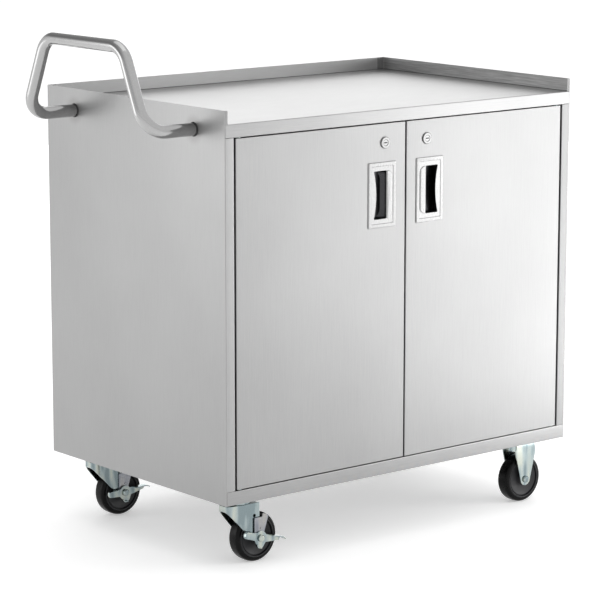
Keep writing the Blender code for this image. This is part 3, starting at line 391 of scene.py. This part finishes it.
# The strip along the front edge goes, because the worktop is open there.
for strip in seam_shade_bead.data.polygons:
    strip.select = strip.center.y < worktop_low.y + seam_shade_width
bpy.ops.object.mode_set(mode="EDIT")
bpy.ops.mesh.delete(type="FACE")
bpy.ops.mesh.select_all(action="SELECT")
bpy.ops.mesh.extrude_region_move(TRANSFORM_OT_translate={"value": (0, 0, seam_shade_height)})
bpy.ops.mesh.select_all(action="SELECT")
bpy.ops.mesh.normals_make_consistent(inside=False)
round_edges(seam_shade_bead, seam_shade_height / 3)
# The bead's near-black material is painted shade.
joint_shade_black = moulded("painted_joint_shade_black", "#242424", "#333333", roughness=0.48, ior=1.4,
                  cloud_size=0.020, grain_size=0.0010, grain_depth=0.00004)
fit(seam_shade_bead, joint_shade_black, "black_rubber", "cabinet")


# The push handle: 25 mm stainless tube, bent on a mandrel and satin-polished, butted against the
# side panel and bolted from inside. It leans towards the middle as it rises. The polish is finer
# than the brushing, so the light draws streaks along the tube.
def turn_rings(name, section, centre, tilt, steps):
    """A turned ring: its outline of (radius, height) points, extruded ring by ring and closed."""
    axis = tilt @ Vector((0, 0, 1))
    first_radius, first_height = section[0]
    bpy.ops.object.select_all(action="DESELECT")
    bpy.ops.mesh.primitive_circle_add(vertices=steps, radius=first_radius,
                                      location=centre + axis * first_height,
                                      rotation=tilt.to_euler())
    piece = bpy.context.object
    piece.name = name
    bpy.ops.object.transform_apply(location=True, rotation=True, scale=True)
    edit_alone(piece)
    for (radius, height), (next_radius, next_height) in zip(section, section[1:]):
        bpy.ops.mesh.extrude_region_move(
            TRANSFORM_OT_translate={"value": axis * (next_height - height)})
        bpy.ops.transform.resize(value=[next_radius / radius] * 3,
                                 center_override=centre + axis * next_height)
    bpy.ops.object.mode_set(mode="OBJECT")
    last_ring = len(piece.data.vertices) - steps
    for edge in piece.data.edges:
        edge.select = max(edge.vertices) < steps or min(edge.vertices) >= last_ring
    bpy.ops.object.mode_set(mode="EDIT")
    bpy.ops.mesh.select_mode(type="EDGE")
    bpy.ops.mesh.bridge_edge_loops()
    bpy.ops.mesh.select_all(action="SELECT")
    bpy.ops.mesh.normals_make_consistent(inside=False)
    bpy.ops.mesh.select_mode(type="VERT")
    bpy.ops.object.mode_set(mode="OBJECT")
    bpy.ops.object.shade_smooth_by_angle(angle=smooth_angle)
    return piece


def copy_to(piece, name, shift):
    """Another piece like this one, with a mesh of its own, moved over by a shift."""
    twin = piece.copy()
    twin.name = name
    twin.data = piece.data.copy()
    twin.data.transform(Matrix.Translation(shift))
    bpy.context.collection.objects.link(twin)
    return twin


handle_steel = brushed_steel("satin_stainless_tube", "X", "#A0A0A0", "#B6B6B6", roughness=0.17,
                             scratch_length=0.006, scratch_depth=0.00001)
tube_bend_radius = 0.048
handle_lean = 0.071
tube_sides = 48
bend_steps = 14
tube_end_edge = 0.0005
front_y, back_y = handle_low.y + tube_radius, handle_high.y - tube_radius
foot_z, grip_z = handle_low.z + tube_radius, handle_high.z - tube_radius
outer_x, root_x = handle_low.x + tube_radius, handle_high.x
tube_corners = [Vector(corner) for corner in (
    (root_x, front_y, foot_z), (outer_x, front_y, foot_z), (outer_x, front_y + handle_lean, grip_z),
    (outer_x, back_y - handle_lean, grip_z), (outer_x, back_y, foot_z), (root_x, back_y, foot_z))]
bpy.ops.object.select_all(action="DESELECT")
bpy.ops.mesh.primitive_circle_add(vertices=tube_sides, radius=tube_radius, fill_type="NGON",
                                  location=tube_corners[0], rotation=(0, math.radians(-90), 0))
handle = bpy.context.object
handle.name = "push_handle_tube"
bpy.ops.object.transform_apply(location=True, rotation=True, scale=True)
edit_alone(handle)
# The tube's round end is pushed along each straight length and swung round each bend.
tube_end = tube_corners[0]
for before, corner, after in zip(tube_corners, tube_corners[1:], tube_corners[2:]):
    heading, next_heading = (corner - before).normalized(), (after - corner).normalized()
    turn = heading.angle(next_heading)
    reach = tube_bend_radius * math.tan(turn / 2)
    bend_start = corner - heading * reach
    bpy.ops.mesh.extrude_region_move(TRANSFORM_OT_translate={"value": bend_start - tube_end})
    hinge = heading.cross(next_heading).normalized()
    inward = hinge.cross(heading).normalized()
    bpy.ops.mesh.spin(steps=bend_steps, angle=-turn, center=bend_start + inward * tube_bend_radius,
                      axis=hinge)
    tube_end = corner + next_heading * reach
bpy.ops.mesh.extrude_region_move(TRANSFORM_OT_translate={"value": tube_corners[-1] - tube_end})
bpy.ops.mesh.select_all(action="SELECT")
bpy.ops.mesh.remove_doubles(threshold=merge_distance)
bpy.ops.mesh.normals_make_consistent(inside=False)
round_edges(handle, tube_end_edge, flat_faces=False)
fit(handle, handle_steel, "brushed_stainless", "cabinet", "push_handle")

# The handle's foot shades: a fillet of the same near-black, drawn round each foot of the tube where
# it meets the side panel. It stands in for the shade in that joint: painted shade. Its hollow face
# catches a thin rim of light.
fillet_size = 0.0016
fillet_gap = 0.0001
out_of_panel = Matrix.Rotation(math.radians(-90), 3, "Y")
fillet_section = [(tube_radius + fillet_gap, fillet_gap), (tube_radius + fillet_size, fillet_gap),
                  (tube_radius + fillet_size / 3, fillet_size / 3),
                  (tube_radius + fillet_gap, fillet_size)]
fillet = turn_rings("front_handle_foot_shade", fillet_section, Vector((root_x, front_y, foot_z)),
                    out_of_panel, tube_sides)
rear_fillet = copy_to(fillet, "rear_handle_foot_shade", (0, back_y - front_y, 0))
for piece in (fillet, rear_fillet):
    fit(piece, joint_shade_black, "black_rubber", "cabinet")


# Zinc-plated fasteners: the bolts that hold the handle, and the turned pins that each door hangs
# on. Bright zinc has a bluish cast, and its clear passivation turns faintly yellow in patches.
def zinc_plated(name, cool, plain, warm, roughness):
    """Zinc plating on steel that the press has left faintly wavy: upright bands about 13 mm wide,
    from a cool dark tone to a warm light one. The waves are relief; the tones are partly the
    passivation's uneven tint and partly painted shade and painted highlight."""
    material, tree, shader = principled(name, 1.0, roughness, plain)
    place = add_node(tree, "ShaderNodeTexCoord", {}, {}).outputs["Object"]
    band_width, band_height = 0.013, 0.060
    cool_end, middle, warm_end = 0.38, 0.50, 0.66
    crystal_size = 0.0012
    gloss_spread = 0.06
    wave_depth = 0.0012
    upright = add_node(tree, "ShaderNodeMapping", {},
                       {"Vector": place,
                        "Scale": (1 / band_width, 1 / band_width, 1 / band_height)})
    bands = add_node(tree, "ShaderNodeTexNoise", {}, {"Vector": upright.outputs[0], "Scale": 1.0,
                                                      "Detail": 0.5})
    # The upright bands' dark and light tones are partly painted shade and painted highlight.
    tint = add_node(tree, "ShaderNodeValToRGB", {}, {0: bands.outputs[0]})
    ramp = tint.color_ramp.elements
    ramp[0].position, ramp[0].color = cool_end, linear(cool)
    ramp[1].position, ramp[1].color = warm_end, linear(warm)
    ramp.new(middle).color = linear(plain)
    tree.links.new(tint.outputs[0], shader.inputs["Base Color"])
    crystals = add_node(tree, "ShaderNodeTexNoise", {}, {"Vector": place,
                                                         "Scale": 1 / crystal_size})
    gloss = add_node(tree, "ShaderNodeMapRange", {},
                     {"Value": crystals.outputs[0], "From Min": noise_low, "From Max": noise_high,
                      "To Min": roughness - gloss_spread, "To Max": roughness + gloss_spread})
    tree.links.new(gloss.outputs[0], shader.inputs["Roughness"])
    relief = add_node(tree, "ShaderNodeBump", {}, {"Strength": 0.6, "Distance": wave_depth,
                                                   "Height": bands.outputs[0]})
    tree.links.new(relief.outputs[0], shader.inputs["Normal"])
    return material


bright_zinc = zinc_plated("bright_zinc_plate", "#808D90", "#9EAAAB", "#B8BDB4", roughness=0.18)
machined_edge = 0.0003
for node in ("front_handle_bolt", "rear_handle_bolt", "left_door_upper_pin",
             "left_door_lower_pin", "right_door_upper_pin", "right_door_lower_pin"):
    finish_node(node, machined_edge, bright_zinc, "zinc_plate")

# Doors: two flush doors, each a folded outer pan with a liner pushed into it, hung on pivot pins.
# They are brushed upright, which draws the softbox's reflection out into a broad soft glow.
door_steel = brushed_steel("brushed_stainless_door", "Z", "#919191", "#A3A3A3", roughness=0.39,
                           scratch_length=0.05, scratch_depth=sheet_relief)
for side in ("left", "right"):
    for part in ("_door_skin", "_door_liner"):
        finish_node(side + part, fold_edge, door_steel, "brushed_stainless")


# Flush pulls: stamped from bright stainless sheet. The border, the lip and the D-shaped grip are
# polished by the press, and the pocket behind them is painted dark: painted shade.
def darken_inside(material, face_y, depth, colour):
    """Turns a material dark behind a face that looks to the front: painted shade. The first eighth
    of the depth, where the edges are rounded, keeps the face's colour."""
    tree = material.node_tree
    base = tree.nodes["Principled BSDF"].inputs["Base Color"]
    place = add_node(tree, "ShaderNodeTexCoord", {}, {}).outputs["Object"]
    parts = add_node(tree, "ShaderNodeSeparateXYZ", {}, {"Vector": place})
    inside = add_node(tree, "ShaderNodeMapRange", {},
                      {"Value": parts.outputs["Y"], "From Min": face_y + depth / 8,
                       "From Max": face_y + depth})
    tone = add_node(tree, "ShaderNodeMix", {"data_type": "RGBA"},
                    {0: inside.outputs[0], 6: base.links[0].from_socket, 7: linear(colour)})
    tree.links.new(tone.outputs[2], base)


pull_steel = brushed_steel("bright_stainless_pressing", "Z", "#909090", "#A0A0A0", roughness=0.27,
                           scratch_length=0.02, scratch_depth=0.00001)
pocket_shade_depth = 0.0030
darken_inside(pull_steel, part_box("left_door_skin")[0].y, pocket_shade_depth, "#424244")
pressed_edge = 0.0005
for side in ("left", "right"):
    finish_node(side + "_door_pull", pressed_edge, pull_steel, "bright_stainless")


# Cam locks: a zinc die-cast barrel with a bright chrome bezel, a chrome plug whose key slot is
# painted near black inside and covered by a near-black bar, both painted shade, and a zinc-plated
# steel cam on the plug's tail.
def chromed(name, roughness, colour, haze_colour):
    """Chrome plate: near a mirror, with the faint uneven haze that fingers leave."""
    material, tree, shader = principled(name, 1.0, roughness, colour)
    place = add_node(tree, "ShaderNodeTexCoord", {}, {}).outputs["Object"]
    haze_size = 0.004
    haze = add_node(tree, "ShaderNodeTexNoise", {}, {"Vector": place, "Scale": 1 / haze_size,
                                                     "Detail": 2.0})
    tone = add_node(tree, "ShaderNodeMix", {"data_type": "RGBA"},
                    {0: haze.outputs[0], 6: linear(haze_colour), 7: linear(colour)})
    tree.links.new(tone.outputs[2], shader.inputs["Base Color"])
    return material


bezel_chrome = chromed("chrome_plate", roughness=0.16, colour="#8E8E8E", haze_colour="#7E7E7E")
plug_chrome = chromed("chrome_plate_key_slot", roughness=0.22, colour="#989898",
                      haze_colour="#888888")
# The plug is painted near black behind its face, inside the key slot: painted shade.
key_slot_shade = 0.0008
darken_inside(plug_chrome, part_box("left_lock_plug")[0].y, key_slot_shade, "#0A0A0A")
bezel_edge = 0.0005
for side in ("left", "right"):
    finish_node(side + "_lock_barrel", bezel_edge, bezel_chrome, "chrome")
    finish_node(side + "_lock_plug", machined_edge, plug_chrome, "chrome")
    finish_node(side + "_lock_cam", machined_edge, bright_zinc, "zinc_plate")

# Key slot shades: a near-black bar laid over the mouth of each key slot. It stands in for the
# slot's dark inside: painted shade. It starts as a disc at the slot's left end; its right half is
# drawn out to the other end.
slot_shade_length = 0.0084
slot_shade_width = 0.0023
slot_shade_proud = 0.0003
slot_shade_sides = 24
slot_shade_black = moulded("painted_key_slot_shade", "#070707", "#0E0E0E", roughness=0.4, ior=1.45,
                      cloud_size=0.003, grain_size=0.0004, grain_depth=0.00001)
low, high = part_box("left_lock_plug")
slot_centre = Vector(((low.x + high.x) / 2, low.y, (low.z + high.z) / 2))
guide_stretch = slot_shade_length - slot_shade_width
disc_centre = slot_centre - Vector((guide_stretch / 2, 0, 0))
bpy.ops.object.select_all(action="DESELECT")
bpy.ops.mesh.primitive_circle_add(vertices=slot_shade_sides, radius=slot_shade_width / 2,
                                  fill_type="NGON", location=disc_centre,
                                  rotation=(math.radians(90), 0, 0))
slot_shade_bar = bpy.context.object
slot_shade_bar.name = "left_key_slot_shade"
bpy.ops.object.transform_apply(location=True, rotation=True, scale=True)
edit_alone(slot_shade_bar)
bpy.ops.mesh.extrude_region_move(TRANSFORM_OT_translate={"value": (0, -slot_shade_proud, 0)})
bpy.ops.mesh.select_all(action="DESELECT")
bpy.ops.object.mode_set(mode="OBJECT")
for point in slot_shade_bar.data.vertices:
    point.select = point.co.x > disc_centre.x
bpy.ops.object.mode_set(mode="EDIT")
bpy.ops.transform.translate(value=(guide_stretch, 0, 0))
bpy.ops.mesh.select_all(action="SELECT")
bpy.ops.mesh.normals_make_consistent(inside=False)
round_edges(slot_shade_bar, slot_shade_proud / 4)
right_slot_shade_bar = copy_to(slot_shade_bar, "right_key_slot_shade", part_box("right_lock_plug")[0] - low)
for piece, body in ((slot_shade_bar, "left_lock"), (right_slot_shade_bar, "right_lock")):
    fit(piece, slot_shade_black, "dark_grey_nylon", body)

# Casters: stamped from steel and plated with the same bright zinc, whose waves break up what it
# reflects. The two at the handle end swivel on a ball race under their plate, and the two at the
# right are rigid, with plate and fork in one pressing.
stamped_edge = 0.0008
for wheel in ("front_left", "rear_left"):
    for part in ("_caster_plate", "_fork"):
        finish_node(wheel + part, stamped_edge, bright_zinc, "zinc_plate", segments=3)
    for part in ("_kingpin", "_swivel_race"):
        finish_node(wheel + part, machined_edge, bright_zinc, "zinc_plate")
for wheel in ("front_right", "rear_right"):
    finish_node(wheel + "_fork", stamped_edge, bright_zinc, "zinc_plate", segments=3)

# Mounting bolts: each caster plate is held to its channel by four coach bolts. Their low domed
# heads show below the plate's corners, and their nuts are up inside the channel.
bolt_head_radius = 0.0076
bolt_head_sides = 36
bolt_rim_height = 0.0007
dome_rise = 0.0005
dome_rings = 2
plate_thickness = 0.0028
bolt_from_end = 0.008
bolt_from_side = 0.0095
bpy.ops.object.select_all(action="DESELECT")
bpy.ops.mesh.primitive_circle_add(vertices=bolt_head_sides, radius=bolt_head_radius,
                                  fill_type="NGON", rotation=(math.radians(180), 0, 0))
coach_bolt = bpy.context.object
bpy.ops.object.transform_apply(location=True, rotation=True, scale=True)
edit_alone(coach_bolt)
bpy.ops.mesh.extrude_region_move(TRANSFORM_OT_translate={"value": (0, 0, -bolt_rim_height)})
for ring in range(1, dome_rings + 1):
    bpy.ops.mesh.inset(thickness=bolt_head_radius / (dome_rings + 1), depth=dome_rise / ring)
bpy.ops.mesh.select_all(action="SELECT")
bpy.ops.mesh.normals_make_consistent(inside=False)
bpy.ops.object.mode_set(mode="OBJECT")
bpy.ops.object.shade_smooth_by_angle(angle=smooth_angle)
for wheel, node in (("front_left", "front_left_caster_plate"),
                    ("rear_left", "rear_left_caster_plate"),
                    ("front_right", "front_right_fork"), ("rear_right", "rear_right_fork")):
    low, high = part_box(node)
    corners = [(x, y) for x in (low.x + bolt_from_side, high.x - bolt_from_side)
               for y in (low.y + bolt_from_end, high.y - bolt_from_end)]
    for number, (x, y) in enumerate(corners, start=1):
        piece = copy_to(coach_bolt, f"{wheel}_coach_bolt_{number}",
                        (x, y, high.z - plate_thickness))
        fit(piece, bright_zinc, "zinc_plate", "cabinet")
bpy.data.objects.remove(coach_bolt)

# Wheels: a solid black rubber tyre on a moulded dark grey nylon hub. A deep narrow groove parts the
# hub's face from the rounded ring that holds the tyre in. The rubber is near black with a tight
# sheen on its shoulders, and the nylon a duller, slightly bluish grey.
rubber = moulded("black_rubber_moulded", "#040404", "#080808", roughness=0.26, ior=1.22,
                 cloud_size=0.012, grain_size=0.0008, grain_depth=0.00004)
hub_nylon = moulded("dark_grey_nylon_moulded", "#1A1A1C", "#232325", roughness=0.44, ior=1.38,
                    cloud_size=0.010, grain_size=0.0006, grain_depth=0.00003)
# Each outline is drawn for one side of the wheel and then mirrored for the other.
half_tread = 0.016
tyre_radius = 0.0508
tread_crown = 0.0004
shoulder_radius = 0.0070
shoulder_steps = 8
hub_radius = 0.0365
groove_width = 0.0019
groove_depth = 0.0050
ring_width = 0.0032
ring_height = 0.0012
ring_steps = 6
joint_gap = 0.0002
ring_web = 0.0010
face = ring_height - half_tread
groove_floor = groove_depth - half_tread
groove_edge = hub_radius + groove_width
ring_edge = groove_edge + ring_width
bead_floor = groove_floor + ring_web + joint_gap
tyre_half = [(hub_radius + 2 * joint_gap, bead_floor), (ring_edge + joint_gap, bead_floor),
             (ring_edge + joint_gap, face)]
for step in range(shoulder_steps + 1):
    turn = math.pi / 2 * step / shoulder_steps
    tyre_half.append((tyre_radius - tread_crown - shoulder_radius * (1 - math.sin(turn)),
                      face + shoulder_radius * (1 - math.cos(turn))))
tyre_section = [*tyre_half, (tyre_radius, 0.0),
                *((radius, -height) for radius, height in reversed(tyre_half))]
bore_radius = 0.0043
collar_radius = 0.0125
collar_bevel = 0.0008
collar_proud = 0.0003
collar_face = -half_tread - collar_proud
hub_recess = 0.0030
hub_face = hub_recess - half_tread
lip_rise = 0.0005
lip_from_edge = 0.0006
lip_width = 0.0008
lip_slope = 0.0008
lip_back = 0.0008
lip_end = hub_radius - lip_from_edge
lip_start = lip_end - lip_width
lip_foot = lip_start - lip_slope
hub_half = [(bore_radius, collar_face), (collar_radius - collar_bevel, collar_face),
            (collar_radius, lip_rise - half_tread), (collar_radius + collar_bevel, hub_face),
            (lip_foot, hub_face), (lip_start, hub_face - lip_rise),
            (lip_end, hub_face - lip_rise), (hub_radius - joint_gap, hub_face + lip_back),
            (hub_radius, groove_floor), (groove_edge, groove_floor)]
for step in range(ring_steps + 1):
    turn = math.pi * step / ring_steps
    hub_half.append((groove_edge + joint_gap + (ring_width - joint_gap) / 2 * (1 - math.cos(turn)),
                     face - ring_height * math.sin(turn)))
hub_half += [(ring_edge, groove_floor + ring_web),
             (hub_radius + joint_gap, groove_floor + ring_web)]
hub_section = [*hub_half, *((radius, -height) for radius, height in reversed(hub_half))]
wheel_sides = 96
onto_axle = Matrix.Rotation(math.radians(-90), 3, "X")
# The first pair is turned and fitted, and the other pairs are copies of it. A copy keeps the first
# pair's replaced nodes beside its own, so it names one node too many.
tyre = hub = None
for wheel in ("front_left", "rear_left", "front_right", "rear_right"):
    low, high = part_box(wheel + "_wheel_tyre")
    centre = (low + high) / 2
    if tyre is None:
        first_centre = centre
        tyre = turned_tyre = turn_rings(wheel + "_tyre", tyre_section, centre, onto_axle,
                                        wheel_sides)
        hub = turned_hub = turn_rings(wheel + "_hub", hub_section, centre, onto_axle, wheel_sides)
    else:
        turned_tyre = copy_to(tyre, wheel + "_tyre", centre - first_centre)
        turned_hub = copy_to(hub, wheel + "_hub", centre - first_centre)
    fit(turned_tyre, rubber, "black_rubber", wheel + "_wheel", wheel + "_wheel_tyre")
    fit(turned_hub, hub_nylon, "dark_grey_nylon", wheel + "_wheel", wheel + "_wheel_core")
    for part in ("_axle_bolt", "_axle_nut"):
        finish_node(wheel + part, machined_edge, bright_zinc, "zinc_plate")

# Brakes, on the two swivel casters: the lever rocks on the axle, and its hump presses the brake
# plate on to the tread. The plates have had a greyer bath of zinc than the rest.
brake_zinc = zinc_plated("grey_zinc_plate", "#83868D", "#96989D", "#A3A2A0", roughness=0.28)
brake_edge = 0.0004
for wheel in ("front_left", "rear_left"):
    finish_node(wheel + "_brake_lever", brake_edge, bright_zinc, "zinc_plate")
    finish_node(wheel + "_brake_plate", brake_edge, brake_zinc, "zinc_plate")
